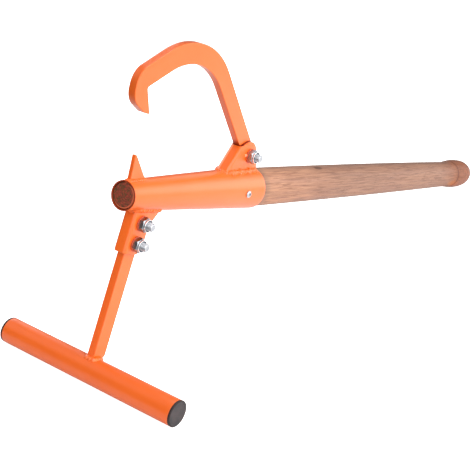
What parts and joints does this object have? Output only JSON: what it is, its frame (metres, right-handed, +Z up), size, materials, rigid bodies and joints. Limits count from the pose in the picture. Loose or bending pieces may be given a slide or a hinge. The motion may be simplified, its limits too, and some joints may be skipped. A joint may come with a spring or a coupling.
{
  "type": "log lifter",
  "caption": "Log lifter: a conical socket with a spike, a hinged hook and a bolted T foot, on a round wooden handle.",
  "frame": {"origin": "on the floor, below the middle of the tool's length, with the tool standing on its foot bar and the knob of its handle", "axes": "+X towards the knob of the handle, -Y towards the nuts, +Z up"},
  "size_m": [1.2558, 0.3106, 0.459],
  "materials": {
    "paint": "glossy orange powder coat",
    "wood": "sanded hardwood, clear sealed",
    "zinc": "bright zinc plate",
    "black_plastic": "moulded matt",
    "nylon": "white nylon"
  },
  "bodies": {
    "lifter": {"socket_tube": "paint", "handle": "wood", "near_handle_screw": "zinc", "far_handle_screw": "zinc", "spike": "paint", "hook_clevis": "paint", "pivot_bolt": "zinc", "pivot_washer": "zinc", "pivot_nut": "zinc", "pivot_nut_ring": "nylon", "foot_bracket": "paint", "foot_leg": "paint", "foot_bar": "paint", "near_end_cap": "black_plastic", "far_end_cap": "black_plastic", "upper_foot_bolt": "zinc", "upper_foot_washer": "zinc", "upper_foot_nut": "zinc", "upper_foot_nut_ring": "nylon", "lower_foot_bolt": "zinc", "lower_foot_washer": "zinc", "lower_foot_nut": "zinc", "lower_foot_nut_ring": "nylon"},
    "hook_arm": {"hook": "paint"}
  },
  "joints": [
    {"name": "hook_pivot", "type": "hinge", "parent": "lifter", "child": "hook_arm", "pos_m": [-0.2854, 0, 0.26413], "axis": [0, 1, 0], "range_deg": [0, 137]}
  ]
}
